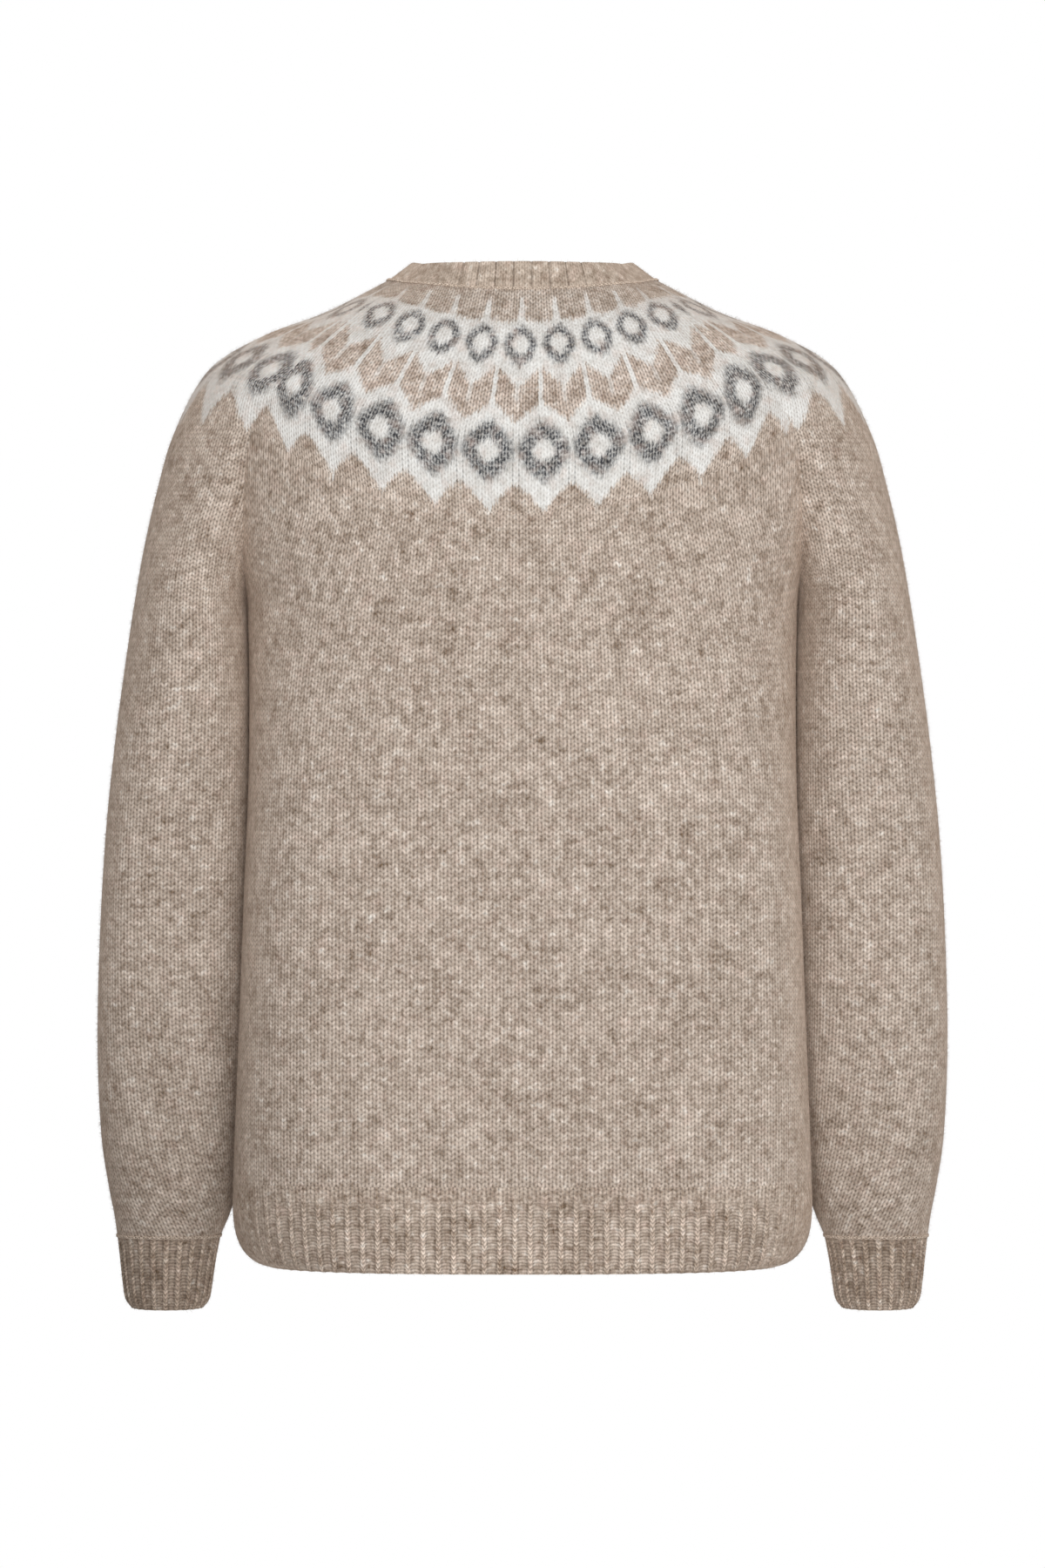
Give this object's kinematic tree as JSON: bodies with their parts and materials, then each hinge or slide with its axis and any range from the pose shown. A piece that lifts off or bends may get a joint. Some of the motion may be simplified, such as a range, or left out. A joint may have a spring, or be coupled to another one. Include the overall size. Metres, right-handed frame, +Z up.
{
  "type": "cardigan",
  "caption": "Round-yoke knitted cardigan, filled out as if worn, with raglan sleeves, ribbed hem and cuffs, a neckband and a closed button front.",
  "frame": {"origin": "middle of the neck opening, level with the highest point of the shoulders, where the garment rests on the wearer", "axes": "+Z up, the front faces -Y, the wearer's left is +X"},
  "size_m": [0.559, 0.2513, 0.6845],
  "materials": {
    "knit": "brushed, heathered taupe wool knit with a white, tan and charcoal yoke pattern",
    "rib": "heathered taupe wool rib",
    "button": "polished dark horn-like resin"
  },
  "bodies": {
    "root": {"back": "knit", "front_left": "knit", "front_right": "knit", "sleeve_left": "knit", "sleeve_right": "knit", "hem_rib_back": "rib", "hem_rib_front_left": "rib", "hem_rib_front_right": "rib", "cuff_left": "rib", "cuff_right": "rib", "neckband": "rib", "button_band": "rib", "buttonhole_band": "rib", "button_1": "button", "button_2": "button", "button_3": "button", "button_4": "button", "button_5": "button", "button_6": "button", "button_7": "button"}
  },
  "joints": []
}
